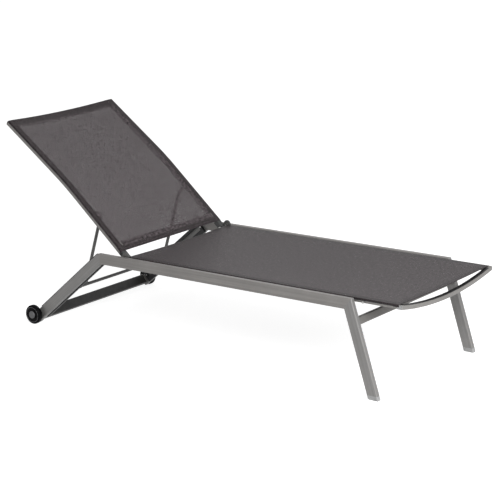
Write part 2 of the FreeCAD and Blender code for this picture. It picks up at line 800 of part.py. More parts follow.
# ---- prop ----
prop_pivot = back_point(prop_pivot_along, 0)
prop_seat = on_rear_leg(prop_seat_along, prop_seat_below)
prop_end_y = rack_inner_y - side_gap


def prop_base_rod():
    return rod(Vector(prop_seat.x, -prop_end_y, prop_seat.z),
               Vector(prop_seat.x, prop_end_y, prop_seat.z), prop_rod_radius)


def prop_leg():
    """Straight up from the base rod, then bent out into the backrest's side tube."""
    foot = Vector(prop_seat.x, -prop_leg_y, prop_seat.z)
    corner = Vector(prop_pivot.x, -prop_leg_y, prop_pivot.z)
    up = (corner - foot).normalize()
    bend_start = corner - up * prop_bend_radius
    bend_end = corner - along_y * prop_bend_radius
    middle = corner + (up * -1 - along_y).normalize() * (prop_bend_radius * (math.sqrt(2) - 1))
    end = Vector(prop_pivot.x, -(back_inner_y + prop_pin_reach), prop_pivot.z)
    path = [Part.LineSegment(foot, bend_start).toShape(),
            Part.Arc(bend_start, middle, bend_end).toShape(),
            Part.LineSegment(bend_end, end).toShape()]
    section = Part.Wire(Part.makeCircle(prop_rod_radius, foot, up))
    leg = Part.Wire(path).makePipeShell([section], True, False)
    return leg.cut(prop_base_rod())


def prop_sleeve():
    start = Vector(prop_seat.x, -prop_end_y, prop_seat.z)
    end = Vector(prop_seat.x, -(prop_end_y - prop_sleeve_length), prop_seat.z)
    return ring(start, end, prop_sleeve_radius, prop_rod_radius)


def prop_bush():
    """Flanged plastic bush in the inner wall of the backrest's side tube."""
    def point(y):
        return Vector(prop_pivot.x, -y, prop_pivot.z)
    body = rod(point(back_inner_y + back_tube_wide / 2), point(back_inner_y), prop_bush_radius)
    flange = rod(point(back_inner_y), point(back_inner_y - prop_bush_flange),
                 prop_bush_flange_radius)
    bore = rod(point(back_outer_y), point(back_inner_y - 5), prop_rod_radius + turning_gap)
    return body.fuse(flange).cut(bore)


# ---- racks ----
rack_top = -rack_proud
rack_bottom = rail_deep + rack_below
channel_top = rack_top + rack_top_rail
notch_bottom = prop_seat_below + prop_rod_radius
tooth_top = notch_bottom - rack_notch_deep


def rack_notch(along):
    """Slanting slot in the lower side of the channel, open towards the upper end."""
    r = prop_rod_radius + side_gap
    centre = on_rear_leg(along, prop_seat_below, -rail_inner_y - 1)
    end = on_rear_leg(along, prop_seat_below, -rack_inner_y + 1)
    slot = rod(centre, end, r)
    outline = ((along + r, prop_seat_below), (along + r * 0.8, tooth_top - 1),
               (along - r * rack_notch_mouth, tooth_top - 1), (along - r, prop_seat_below))
    mouth = prism([on_rear_leg(a, b) for a, b in outline], -rail_inner_y - 1, -rack_inner_y + 1)
    return slot.fuse(mouth)


rack_rivet_along = [rack_start + rack_end_wall / 2, rack_end - rack_end_wall / 2]
rack_rivet_below = (channel_top + tooth_top) / 2


def rack_rivet(along):
    return rod(on_rear_leg(along, rack_rivet_below, -(rail_inner_y + rail_wall)),
               on_rear_leg(along, rack_rivet_below, -rack_inner_y), rivet_radius)


def rack_rivets():
    rivets = [rack_rivet(along) for along in rack_rivet_along]
    return Part.makeCompound(rivets + [mirrored(rivet) for rivet in rivets])


def rack():
    def block(start, end, top, bottom, y_low, y_high):
        corners = ((start, top), (end, top), (end, bottom), (start, bottom))
        return prism([on_rear_leg(a, b) for a, b in corners], y_low, y_high)

    body = block(rack_start, rack_end, rack_top, rack_bottom, -rail_inner_y, -rack_inner_y)
    body = body.cut(block(rack_start + rack_end_wall, rack_end - rack_end_wall,
                          channel_top, tooth_top, -rail_inner_y - 1, -rack_inner_y + 1))
    for step in range(-rack_notches_above, rack_notches_below + 1):
        body = body.cut(rack_notch(prop_seat_along + step * rack_notch_pitch))
    for along in rack_rivet_along:
        body = body.cut(rack_rivet(along))
    return body


# ---- the lounger ----
add_pair("side_rail", side_rail())
add_pair("rear_leg", rear_leg())
add_pair("front_leg", front_leg())
add_pair("foot_cap", foot_cap())
add_pair("rear_leg_plug", rear_plug())
add("rear_cross_bar", rear_cross_bar())
add("front_cross_bar", front_cross_bar())
add_pair("wheel_axle", wheel_axle())
add_pair("wheel_washer", wheel_washer())
add_pair("wheel_body", wheel_body())
add_pair("wheel_tyre", wheel_tyre())
add_pair("hub_cap", hub_cap())
add_pair("seat_side_tube", seat_side_tube())
add("seat_screws", seat_screws())
add("seat_spacers", seat_spacers())
add("foot_bow", foot_bow())
add("foot_bow_trim", foot_bow_trim())
add_pair("foot_bow_plug", foot_bow_plug())
add("seat_head_tube", seat_head_tube())
add_pair("seat_keder", seat_keder())
add("seat_sling", seat_sling())
add_pair("hinge_plate", hinge_plate())
add("hinge_rivets", hinge_rivets())
add_pair("hinge_bolt", hinge_bolt())
add_pair("hinge_spacer", hinge_spacer())
add_pair("rack", rack())
add("rack_rivets", rack_rivets())
add_pair("back_side_tube", back_side_tube())
add("back_top_tube", back_top_tube())
add("back_bottom_tube", back_bottom_tube())
add_pair("back_tube_plug", back_tube_plug())
add_pair("back_keder", back_keder())
add("back_sling", back_sling())
add("prop_base_rod", prop_base_rod())
add_pair("prop_leg", prop_leg())
add_pair("prop_sleeve", prop_sleeve())
add_pair("prop_bush", prop_bush())

os.makedirs("parts", exist_ok=True)
whole = Part.makeCompound(list(nodes.values())).optimalBoundingBox(False)
for name, shape in nodes.items():
    shape.exportStep("parts/" + name + ".step")
    valid = "" if shape.isValid() else "  NOT VALID"
    print(name, len(shape.Solids), round(shape.Volume / 1000, 2), "cm3" + valid)
print(len(nodes), "nodes")
print("overall X", round(whole.XMin, 2), round(whole.XMax, 2), "middle",
      round((whole.XMin + whole.XMax) / 2, 2))
print("overall Y", round(whole.YMin, 2), round(whole.YMax, 2))
print("overall Z", round(whole.ZMin, 2), round(whole.ZMax, 2))
cap = nodes["foot_cap_near"].optimalBoundingBox(False)
print("foot cap", round((cap.XMin + cap.XMax) / 2 + foot_cap_edge, 2))
for label, point in (("hinge", hinge), ("prop pivot", prop_pivot), ("wheel axle", axle_centre),
                     ("prop seat", prop_seat)):
    placed = standing.multVec(point)
    print(label, round(placed.x, 3), round(placed.z, 3))
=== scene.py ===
import bpy
import bmesh
import json
import math
import random
from mathutils import Matrix, Vector


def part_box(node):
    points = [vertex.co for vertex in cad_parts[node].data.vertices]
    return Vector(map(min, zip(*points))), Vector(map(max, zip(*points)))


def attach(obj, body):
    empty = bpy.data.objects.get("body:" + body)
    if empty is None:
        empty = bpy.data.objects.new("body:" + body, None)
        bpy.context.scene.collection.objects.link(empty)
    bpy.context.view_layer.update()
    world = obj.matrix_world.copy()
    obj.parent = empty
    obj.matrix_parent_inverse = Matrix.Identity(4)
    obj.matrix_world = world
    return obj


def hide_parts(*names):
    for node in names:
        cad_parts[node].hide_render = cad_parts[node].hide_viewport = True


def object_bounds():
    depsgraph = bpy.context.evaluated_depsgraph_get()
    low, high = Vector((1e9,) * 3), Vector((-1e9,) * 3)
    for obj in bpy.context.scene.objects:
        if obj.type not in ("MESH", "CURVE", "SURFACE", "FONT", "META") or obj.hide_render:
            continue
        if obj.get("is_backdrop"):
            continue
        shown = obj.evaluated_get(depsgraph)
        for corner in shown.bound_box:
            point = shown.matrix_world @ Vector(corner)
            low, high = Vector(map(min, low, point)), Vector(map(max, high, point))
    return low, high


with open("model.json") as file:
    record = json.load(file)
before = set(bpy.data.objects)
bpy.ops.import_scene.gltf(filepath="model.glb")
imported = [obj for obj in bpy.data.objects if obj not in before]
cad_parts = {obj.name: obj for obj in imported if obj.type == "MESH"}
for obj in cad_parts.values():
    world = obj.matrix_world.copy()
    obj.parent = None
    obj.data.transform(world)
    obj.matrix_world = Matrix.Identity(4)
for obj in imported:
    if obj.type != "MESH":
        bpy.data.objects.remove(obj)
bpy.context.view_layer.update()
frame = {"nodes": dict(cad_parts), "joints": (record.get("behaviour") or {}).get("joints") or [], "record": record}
nodes = frame["nodes"]
joints = {joint["name"]: joint for joint in frame["joints"]}
hinge = Vector(joints["backrest_recline"]["pos_m"])
print("lounger frame loaded:", len(nodes), "CAD pieces")

deck = {
    "tilt": math.radians(0.708),        # the deck rises towards the foot end
    "rearLegs": math.radians(39.6),     # their slope against the deck
    "frontLegs": math.radians(17.3),    # how far they lean from square to the deck
}
deckRun = Vector((math.cos(deck["tilt"]), 0, math.sin(deck["tilt"])))
deckUp = Vector((-math.sin(deck["tilt"]), 0, math.cos(deck["tilt"])))
rearLegAngle = deck["rearLegs"] + deck["tilt"]
frontLegAngle = deck["frontLegs"] + deck["tilt"]


def newMaterial(name):
    material = bpy.data.materials.new(name)
    material.use_nodes = True
    tree = material.node_tree
    return material, tree, tree.nodes["Principled BSDF"]


def addNode(tree, kind, **settings):
    node = tree.nodes.new(kind)
    for key, value in settings.items():
        setattr(node, key, value)
    return node


# a number, a colour or another node's output into a socket
def connect(tree, source, target):
    if isinstance(source, (int, float)):
        target.default_value = source
    elif isinstance(source, tuple):
        target.default_value = (*source, 1)
    else:
        tree.links.new(source, target)


def mathNode(tree, operation, *values):
    node = addNode(tree, "ShaderNodeMath", operation=operation)
    for value, socket in zip(values, node.inputs):
        connect(tree, value, socket)
    return node.outputs[0]


def noiseNode(tree, vector, scale, detail, roughness):
    node = addNode(tree, "ShaderNodeTexNoise")
    node.inputs["Scale"].default_value = scale
    node.inputs["Detail"].default_value = detail
    node.inputs["Roughness"].default_value = roughness
    connect(tree, vector, node.inputs["Vector"])
    return node.outputs["Fac"]


def rampNode(tree, fac, low, high, lowValue, highValue):
    node = addNode(tree, "ShaderNodeMapRange", clamp=True)
    node.inputs["From Min"].default_value = low
    node.inputs["From Max"].default_value = high
    node.inputs["To Min"].default_value = lowValue
    node.inputs["To Max"].default_value = highValue
    connect(tree, fac, node.inputs["Value"])
    return node.outputs["Result"]


# the middle of a noise's range, where most of it lies, spread from one value to another
def spreadNoise(tree, noise, lowValue=0, highValue=1):
    return rampNode(tree, noise, 0.3, 0.7, lowValue, highValue)


def mixColour(tree, fac, first, second):
    node = addNode(tree, "ShaderNodeMix", data_type="RGBA")
    for value, socket in ((fac, node.inputs[0]), (first, node.inputs[6]), (second, node.inputs[7])):
        connect(tree, value, socket)
    return node.outputs[2]


def mapped(tree, vector, scale, rotation=(0, 0, 0), kind="POINT"):
    mapping = addNode(tree, "ShaderNodeMapping", vector_type=kind)
    mapping.inputs["Rotation"].default_value = rotation
    mapping.inputs["Scale"].default_value = scale
    connect(tree, vector, mapping.inputs["Vector"])
    return mapping.outputs["Vector"]


def objectCoords(tree):
    return addNode(tree, "ShaderNodeTexCoord").outputs["Object"]


def splitVector(tree, vector):
    split = addNode(tree, "ShaderNodeSeparateXYZ")
    connect(tree, vector, split.inputs[0])
    return split.outputs


def addBump(tree, shader, height, distance, strength):
    bump = addNode(tree, "ShaderNodeBump")
    bump.inputs["Distance"].default_value = distance
    bump.inputs["Strength"].default_value = strength
    connect(tree, height, bump.inputs["Height"])
    connect(tree, bump.outputs["Normal"], shader.inputs["Normal"])


def tinted(colour, factor, lift=0.0):
    return tuple(min(1, c * factor + lift) for c in colour)


# noises are given as scale, detail and roughness
coat = {
    "cloud": (7, 4, 0.6),
    "cloudTints": (0.90, 1.10),
    "flake": (900, 1, 0.4),
    "flakeRange": (0.56, 0.74),
    "flakeShare": 0.45,
    "flakeTint": 1.45,
    "mark": (1, 2, 0.5),
    "markSize": (0.45, 0.0045, 0.0045),   # how long and how wide a draw mark is
    "markShare": 0.38,
    "markTint": 0.45,
    "dust": (45, 4, 0.65),
    "dustRange": (0.42, 0.7),
    "dustColour": (0.34, 0.31, 0.27),
    "gloss": (30, 3, 0.6),
    "roughness": (0.36, 0.47),
    "grain": (1500, 3, 0.6),
    "grainHeight": 0.00008,
    "grainStrength": 0.5,
}


# faint draw marks along a tube that rises at this angle towards the foot end
def drawMarks(tree, coords, lean):
    tubeCoords = mapped(tree, coords, coat["markSize"], (0, -lean, 0), "TEXTURE")
    return spreadNoise(tree, noiseNode(tree, tubeCoords, *coat["mark"]))


# fine orange peel, faint clouding and a little dust up to a height above the ground
def powderCoat(name, colour, metallic=0.0, dustHeight=0.0, dust=0.10, shine=0.5, lean=None):
    material, tree, shader = newMaterial(name)
    coords = objectCoords(tree)
    cloud = spreadNoise(tree, noiseNode(tree, coords, *coat["cloud"]))
    base = mixColour(tree, cloud, *(tinted(colour, factor) for factor in coat["cloudTints"]))
    flake = rampNode(tree, noiseNode(tree, coords, *coat["flake"]), *coat["flakeRange"],
                     0, coat["flakeShare"])
    base = mixColour(tree, flake, base, tinted(colour, coat["flakeTint"]))
    if lean is not None:
        marks = mathNode(tree, "MULTIPLY", drawMarks(tree, coords, lean), coat["markShare"])
        base = mixColour(tree, marks, base, tinted(colour, coat["markTint"]))
    if dustHeight:
        near = rampNode(tree, splitVector(tree, coords)["Z"], 0, dustHeight, dust, 0)
        patch = rampNode(tree, noiseNode(tree, coords, *coat["dust"]), *coat["dustRange"], 0, 1)
        base = mixColour(tree, mathNode(tree, "MULTIPLY", near, patch), base, coat["dustColour"])
    connect(tree, base, shader.inputs["Base Color"])
    shader.inputs["Metallic"].default_value = metallic
    shader.inputs["Specular IOR Level"].default_value = shine
    gloss = noiseNode(tree, coords, *coat["gloss"])
    connect(tree, spreadNoise(tree, gloss, *coat["roughness"]), shader.inputs["Roughness"])
    addBump(tree, shader, noiseNode(tree, coords, *coat["grain"]), coat["grainHeight"],
            coat["grainStrength"])
    return material


# the charcoal colour and reach of the painted shade by the hinge; the charcoal coat takes the same colour
charcoalShadeEnd = {
    "reach": 0.036,
    "edge": 0.0005,      # over which it ends
    "colour": (0.030, 0.030, 0.030),
}


# painted shade: a dark band painted over everything within reach of a line across the lounger, standing in for the
# shade on the backrest tubes' lower ends by the hinge
def paintEndShade(material, middle):
    tree = material.node_tree
    shader = tree.nodes["Principled BSDF"]
    painted = shader.inputs["Base Color"].links[0].from_socket
    level = addNode(tree, "ShaderNodeVectorMath", operation="MULTIPLY")
    level.inputs[1].default_value = (1, 0, 1)
    connect(tree, objectCoords(tree), level.inputs[0])
    apart = addNode(tree, "ShaderNodeVectorMath", operation="DISTANCE")
    apart.inputs[1].default_value = (middle.x, 0, middle.z)
    connect(tree, level.outputs[0], apart.inputs[0])
    inShade = rampNode(tree, apart.outputs["Value"], charcoalShadeEnd["reach"],
                      charcoalShadeEnd["reach"] + charcoalShadeEnd["edge"], 1, 0)
    connect(tree, mixColour(tree, inShade, painted, charcoalShadeEnd["colour"]), shader.inputs["Base Color"])


plastic = {
    "cloud": (22, 4, 0.6),
    "cloudTints": (0.82, 1.2),
    "scuff": (1, 3, 0.7),
    "scuffStretch": (60, 60, 420),
    "scuffRange": (0.62, 0.78),
    "scuffShare": 0.3,
    "scuffTint": (2.4, 0.002),
    "grain": (3, 0.6),           # detail and roughness, the scale differs
    "grainStrength": 0.6,
}


def mouldedPlastic(name, colour, roughness=(0.42, 0.56), grainScale=900, grainHeight=0.00006,
                   shine=0.4):
    material, tree, shader = newMaterial(name)
    coords = objectCoords(tree)
    cloud = noiseNode(tree, coords, *plastic["cloud"])
    base = mixColour(tree, spreadNoise(tree, cloud),
                     *(tinted(colour, factor) for factor in plastic["cloudTints"]))
    scuffs = noiseNode(tree, mapped(tree, coords, plastic["scuffStretch"]), *plastic["scuff"])
    base = mixColour(tree, rampNode(tree, scuffs, *plastic["scuffRange"], 0, plastic["scuffShare"]),
                     base, tinted(colour, *plastic["scuffTint"]))
    connect(tree, base, shader.inputs["Base Color"])
    connect(tree, spreadNoise(tree, cloud, *roughness), shader.inputs["Roughness"])
    shader.inputs["Specular IOR Level"].default_value = shine
    addBump(tree, shader, noiseNode(tree, coords, grainScale, *plastic["grain"]), grainHeight,
            plastic["grainStrength"])
    return material


zinc = {
    "colour": (0.55, 0.55, 0.54),
    "darkTint": 0.75,
    "cloud": (120, 4, 0.7),
    "roughness": (0.28, 0.46),
    "brush": (1, 2, 0.5),
    "brushStretch": (400, 2500, 400),
    "brushHeight": 0.00004,
    "brushStrength": 0.5,
}


def zincSteel(name):
    material, tree, shader = newMaterial(name)
    coords = objectCoords(tree)
    cloud = noiseNode(tree, coords, *zinc["cloud"])
    base = mixColour(tree, spreadNoise(tree, cloud), tinted(zinc["colour"], zinc["darkTint"]),
                     zinc["colour"])
    connect(tree, base, shader.inputs["Base Color"])
    shader.inputs["Metallic"].default_value = 1.0
    connect(tree, spreadNoise(tree, cloud, *zinc["roughness"]), shader.inputs["Roughness"])
    brushed = noiseNode(tree, mapped(tree, coords, zinc["brushStretch"]), *zinc["brush"])
    addBump(tree, shader, brushed, zinc["brushHeight"], zinc["brushStrength"])
    return material


# streaks and patches are given as changes per metre along and across the cloth
weave = {
    "pitch": 0.0020,            # from one yarn to the next, both ways
    "yarnShare": 0.671,         # of the pitch that a yarn covers
    "crossing": 0.3,            # how softly one yarn gives way to the other
    "under": 0.4,               # how high a yarn stands where it passes below
    "dark": (0.0070, 0.0050, 0.0056),
    "light": (0.022, 0.0181, 0.0193),
    "pale": (0.150, 0.127, 0.135),
    "hollowShade": (0.8, 0.45),      # the height below which a yarn is painted darker, as painted shade in the weave's hollows, and how far
    "streak": (2, 0.6),         # detail and roughness
    "weftStreaks": (620, 14),
    "warpStreaks": (9, 620),
    "bands": (160, 9),
    "bandShare": 0.40,
    "patches": (130, 75),
    "patchRange": (0.26, 0.78),
    "mottle": 0.60,             # how far the patches of paler and darker yarn differ
    "mottleLeft": 0.25,         # of it where a tube or a hem lies behind
    "bedSide": 0.020,           # where that begins, in from the stitches along a side
    "bedEnd": 0.006,            # and in from those at an end
    "bedEdge": 0.006,
    "film": 0.30,               # of a hole that the coating closes where it lies thickest
    "holeEdge": 0.10,
    "roughness": (0.40, 0.43),
    "shine": 0.18,
    "tint": (1.0, 0.83, 0.88),
    "relief": 0.00035,
    "reliefStrength": 0.28,
}
stitch = {
    "length": 0.0036,
    "half": 0.0006,             # of the thread's width
    "core": 0.6,                # of that half where the thread is at its fullest
    "gap": (-0.75, -0.45),      # of the wave along the row, from no thread to thread
    "height": 1.6,
    "colour": (0.050, 0.046, 0.046),
}


def waveNode(tree, coordinate, length):
    return mathNode(tree, "SINE", mathNode(tree, "MULTIPLY", coordinate, 2 * math.pi / length))


def yarnWave(tree, coordinate):
    return waveNode(tree, coordinate, 2 * weave["pitch"])


# how high a yarn's round back stands: 0 between yarns, 1 on top
def yarnHeight(tree, coordinate):
    across = mathNode(tree, "ABSOLUTE", yarnWave(tree, coordinate))
    return rampNode(tree, across, math.cos(weave["yarnShare"] * math.pi / 2), 1, 0, 1)


def streakNoise(tree, vector, changes):
    return spreadNoise(tree, noiseNode(tree, mapped(tree, vector, (*changes, 1)), 1,
                                       *weave["streak"]))


# how far a point lies beyond a distance from the middle line of the cloth
def beyond(tree, coordinate, place):
    return mathNode(tree, "SUBTRACT", mathNode(tree, "ABSOLUTE", coordinate), place)


# a dashed row of thread at a distance from the middle line
def stitchRow(tree, coordinate, other, place):
    off = mathNode(tree, "ABSOLUTE", beyond(tree, coordinate, place))
    row = rampNode(tree, off, stitch["half"] * stitch["core"], stitch["half"], 1, 0)
    dash = rampNode(tree, waveNode(tree, other, stitch["length"]), *stitch["gap"], 0, 1)
    return mathNode(tree, "MULTIPLY", row, dash)


# coated yarns over and under each other with open holes between them, from the piece's UV
def meshWeave(name, rowPlaces, sidePlace, patchy):
    material, tree, shader = newMaterial(name)
    uv = addNode(tree, "ShaderNodeUVMap", uv_map="flatCloth").outputs["UV"]
    flat = splitVector(tree, uv)
    along, across = flat["X"], flat["Y"]

    warp, weft = yarnHeight(tree, across), yarnHeight(tree, along)
    waves = mathNode(tree, "MULTIPLY", yarnWave(tree, along), yarnWave(tree, across))
    over = rampNode(tree, waves, -weave["crossing"], weave["crossing"], 0, 1)
    warpHigh = mathNode(tree, "MULTIPLY", warp, rampNode(tree, over, 0, 1, weave["under"], 1))
    weftHigh = mathNode(tree, "MULTIPLY", weft, rampNode(tree, over, 0, 1, 1, weave["under"]))
    height = mathNode(tree, "MAXIMUM", warpHigh, weftHigh)

    pick = addNode(tree, "ShaderNodeMix", data_type="FLOAT")   # the upper yarn's own streaks
    connect(tree, over, pick.inputs[0])
    connect(tree, streakNoise(tree, uv, weave["weftStreaks"]), pick.inputs[2])
    connect(tree, streakNoise(tree, uv, weave["warpStreaks"]), pick.inputs[3])
    base = mixColour(tree, pick.outputs[0], weave["dark"], weave["light"])
    # painted shade: yarns darken where they dip low between the others
    shadeTop, shadeShare = weave["hollowShade"]
    base = mixColour(tree, rampNode(tree, height, 0, shadeTop, shadeShare, 0), base,
                     weave["dark"])
    bands = mathNode(tree, "MULTIPLY", streakNoise(tree, uv, weave["bands"]), weave["bandShare"])
    base = mixColour(tree, bands, base, weave["dark"])

    # paler patches, which fade where a tube or a hem lies behind
    patch = rampNode(tree, streakNoise(tree, uv, weave["patches"]), *weave["patchRange"], 0, 1)
    bed = mathNode(tree, "MAXIMUM", beyond(tree, across, sidePlace - weave["bedSide"]),
                   beyond(tree, along, rowPlaces[0] - weave["bedEnd"]))
    mottle = patchy * weave["mottle"]
    strength = rampNode(tree, bed, 0, weave["bedEdge"], mottle, mottle * weave["mottleLeft"])
    base = mixColour(tree, mathNode(tree, "MULTIPLY", patch, strength), base, weave["pale"])

    stitches = stitchRow(tree, across, along, sidePlace)
    for place in rowPlaces:
        stitches = mathNode(tree, "MAXIMUM", stitches, stitchRow(tree, along, across, place))
    base = mixColour(tree, stitches, base, stitch["colour"])
    connect(tree, base, shader.inputs["Base Color"])
    connect(tree, rampNode(tree, patch, 0, 1, *weave["roughness"]), shader.inputs["Roughness"])
    shader.inputs["Specular IOR Level"].default_value = weave["shine"]
    shader.inputs["Specular Tint"].default_value = (*weave["tint"], 1)
    raised = mathNode(tree, "MULTIPLY", stitches, stitch["height"])
    addBump(tree, shader, mathNode(tree, "MAXIMUM", height, raised), weave["relief"],
            weave["reliefStrength"])

    cover = mathNode(tree, "MAXIMUM", mathNode(tree, "MAXIMUM", warp, weft), stitches)
    film = mathNode(tree, "MULTIPLY", patch, patchy * weave["film"])
    solid = rampNode(tree, cover, 0, weave["holeEdge"], 0, 1)
    connect(tree, mathNode(tree, "MAXIMUM", solid, film), shader.inputs["Alpha"])
    return material


frameLook = {"colour": (0.175, 0.168, 0.160), "metallic": 0.35}
# painted light: the rails and legs get paler copies of the frame's one coat, brighter than its other tubes
litRailLook = {"colour": (0.203, 0.194, 0.186), "metallic": 0.35}
litLegLook = {"colour": (0.200, 0.196, 0.192), "metallic": 0.35, "dustHeight": 0.16}
rubber = (0.0025, 0.0025, 0.003)
coats = {
    "frameCoat": {**frameLook, "dustHeight": 0.16},
    "hingeShadedCoat": frameLook,
    "railCoat": {**litRailLook, "lean": deck["tilt"]},
    "frontLegCoat": {**litLegLook, "lean": frontLegAngle - math.pi / 2},
    "rearLegCoat": {**litLegLook, "lean": rearLegAngle},
    "propCoat": {"colour": (0.085, 0.084, 0.082), "metallic": 0.2},
    "charcoalCoat": {"colour": charcoalShadeEnd["colour"], "dustHeight": 0.1, "dust": 0.08, "shine": 0.35},
}
plastics = {
    "blackPlastic": {"colour": (0.006, 0.006, 0.0065)},
    "greyPlastic": {"colour": (0.30, 0.30, 0.30), "roughness": (0.35, 0.5)},
    "hubPlastic": {"colour": (0.10, 0.10, 0.105), "roughness": (0.25, 0.4)},
    "wheelPlastic": {"colour": rubber, "roughness": (0.25, 0.4), "grainHeight": 0.00004,
                     "shine": 0.06},
    "tyreRubber": {"colour": rubber, "roughness": (0.5, 0.66), "grainScale": 420,
                   "grainHeight": 0.00015, "shine": 0.05},
}
finishes = {name: powderCoat(name, **look) for name, look in coats.items()}
finishes |= {name: mouldedPlastic(name, **look) for name, look in plastics.items()}
finishes["zincSteel"] = zincSteel("zincSteel")
# painted shade over the lower ends of the backrest's side tubes, round the hinge
paintEndShade(finishes["hingeShadedCoat"], hinge)

slotFinish = {
    "frame_coating": "frameCoat", "prop_coating": "propCoat", "dark_coating": "charcoalCoat",
    "black_plastic": "blackPlastic", "grey_plastic": "greyPlastic", "tyre": "tyreRubber",
    "steel": "zincSteel", "mesh": "blackPlastic", "edging": "blackPlastic",
}
pairFinish = {      # near and far pieces that differ from the rest of their slot
    "side_rail": "railCoat", "front_leg": "frontLegCoat", "rear_leg": "rearLegCoat",
    "back_side_tube": "hingeShadedCoat", "hinge_plate": "propCoat", "hub_cap": "hubPlastic",
    "wheel_body": "wheelPlastic",
}
for part in frame["record"]["subparts"]:
    pair = part["node"].rsplit("_", 1)[0]
    finish = pairFinish.get(pair, slotFinish[part["material_slot"]])
    materials = nodes[part["node"]].data.materials
    materials.clear()
    materials.append(finishes[finish])
print("finishes made and given to the CAD pieces")


# the bmesh becomes an object at the origin
def newPiece(shape, name, material, smooth=True):
    mesh = bpy.data.meshes.new(name)
    shape.to_mesh(mesh)
    shape.free()
    mesh.materials.append(material)
    for polygon in mesh.polygons:
        polygon.use_smooth = smooth
    piece = bpy.data.objects.new(name, mesh)
    bpy.context.scene.collection.objects.link(piece)
    return piece


sling = {
    "thickness": 0.00025,
    "lift": 0.0009,          # the cloth's upper face above the tubes
    "corner": 0.0035,
    "flap": 0.0035,          # down the outer side of a tube, past the corner
    "hem": 0.022,
    "hemRadius": 0.0007,
    "stitchIn": 0.004,       # from the inner end of a hem, and from the tubes' outer corners
}
hemTurn = sling["hemRadius"] * math.pi
cornerTurn = sling["corner"] * math.pi / 2
hemRuns = [(sling["hem"], 4), (hemTurn, 6)]     # runs of cloth are (length, steps)


# runs of cloth joined into the places of a grid's lines
def clothStops(runs):
    stops = [0.0]
    for length, steps in runs:
        stops += [stops[-1] + length * k / steps for k in range(1, steps + 1)]
    return [stop - stops[-1] / 2 for stop in stops]


def acrossRuns(innerHalf, outerHalf):
    side = [(sling["flap"], 2), (cornerTurn, 5), (outerHalf - sling["corner"] - innerHalf, 4)]
    return side + [(2 * innerHalf, 90)] + side[::-1]


# a flat grid of cloth around the origin, its UV in metres along and across
def flatCloth(alongStops, acrossStops):
    cloth = bmesh.new()
    rows, columns = len(alongStops) - 1, len(acrossStops) - 1
    bmesh.ops.create_grid(cloth, x_segments=rows, y_segments=columns, size=0.5)
    for vert in cloth.verts:
        vert.co.x = alongStops[round((vert.co.x + 0.5) * rows)]
        vert.co.y = acrossStops[round((vert.co.y + 0.5) * columns)]
    uvLayer = cloth.loops.layers.uv.new("flatCloth")
    for face in cloth.faces:
        for loop in face.loops:
            loop[uvLayer].uv = (loop.vert.co.x, loop.vert.co.y)
    return cloth


def finishCloth(cloth, name, material, bodyName, replaced):
    piece = newPiece(cloth, name, material)
    solid = piece.modifiers.new("clothThickness", "SOLIDIFY")
    solid.thickness = sling["thickness"]
    solid.offset = -1.0
    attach(piece, bodyName)
    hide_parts(replaced)
    return piece


# cloth that turns down past an edge: how far out it gets and how far it drops
def turnOver(flat, straight, radius, turn):
    past = max(0.0, flat - straight)
    angle = min(past / radius, turn)
    rest = past - radius * angle
    out = min(flat, straight) + radius * math.sin(angle) + rest * math.cos(turn)
    return out, radius * (1 - math.cos(angle)) + rest * math.sin(turn)


# over the side tubes, sagging between them
def wrapAcross(flat, innerHalf, outerHalf, sag):
    out, drop = turnOver(abs(flat), outerHalf - sling["corner"], sling["corner"], math.pi / 2)
    sink = sag * max(0.0, 1 - (flat / innerHalf) ** 2)
    return math.copysign(out, flat), -drop - sink


def smoothStep(low, high, value):
    t = min(1.0, max(0.0, (value - low) / (high - low)))
    return t * t * (3 - 2 * t)


seat = {
    "sag": 0.0045,
    "rows": 140,
    "patchy": 0.6,
}
seatLow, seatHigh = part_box("seat_sling")
tubeLow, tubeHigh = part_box("seat_side_tube_far")
seatTop = tubeHigh.z - (tubeHigh.x - seatLow.x) * math.tan(deck["tilt"])
seatCorner = Vector((seatLow.x, 0, seatTop))
seatLength = (seatHigh.x - seatLow.x) / math.cos(deck["tilt"])
seatOuter = tubeHigh.y + sling["lift"]
seatStraight = seatLength - 2 * sling["hemRadius"]
seatRows = clothStops([*hemRuns, (seatStraight, seat["rows"]), *hemRuns[::-1]])
seatColumns = clothStops(acrossRuns(tubeLow.y, seatOuter))
seatStitch = seatRows[-1] - hemTurn - 2 * sling["hem"] + sling["stitchIn"]
cloth = flatCloth(seatRows, seatColumns)
for vert in cloth.verts:
    out, fold = turnOver(abs(vert.co.x), seatStraight / 2, sling["hemRadius"], math.pi)
    y, up = wrapAcross(vert.co.y, tubeLow.y, seatOuter, seat["sag"])
    run = seatLength / 2 + math.copysign(out, vert.co.x)
    place = seatCorner + deckRun * run + deckUp * (up + sling["lift"] - fold)
    vert.co = (place.x, y, place.z)
seatWeave = meshWeave("seatWeave", [seatStitch, seatStitch + 2 * sling["stitchIn"]],
                      seatOuter - sling["corner"] - sling["stitchIn"], seat["patchy"])
seatMesh = finishCloth(cloth, "seatMesh", seatWeave, "frame", "seat_sling")

back = {
    "angle": math.radians(41.05) - deck["tilt"],   # of the lower run above the level
    "bend": math.radians(5.0),
    "bendRadius": 1.330,
    "lowerRun": 0.331,
    "length": 0.744,
    "hemStart": 0.031,        # along the tubes, where the lower hem turns under
    "topFlap": 0.006,         # more of a flap behind the top tube than at the sides
    "tubeTop": 0.010,
    "sag": 0.003,
    "lowerHeld": (0.080, 0.22),    # from the hinge, where it begins to sag and sags in full
    "upperHeld": (0.028, 0.16),    # and the same from the upper end
    "topSag": 0.0095,              # more and more of it towards the upper end
    "rows": 110,
    "patchy": 1.0,
}


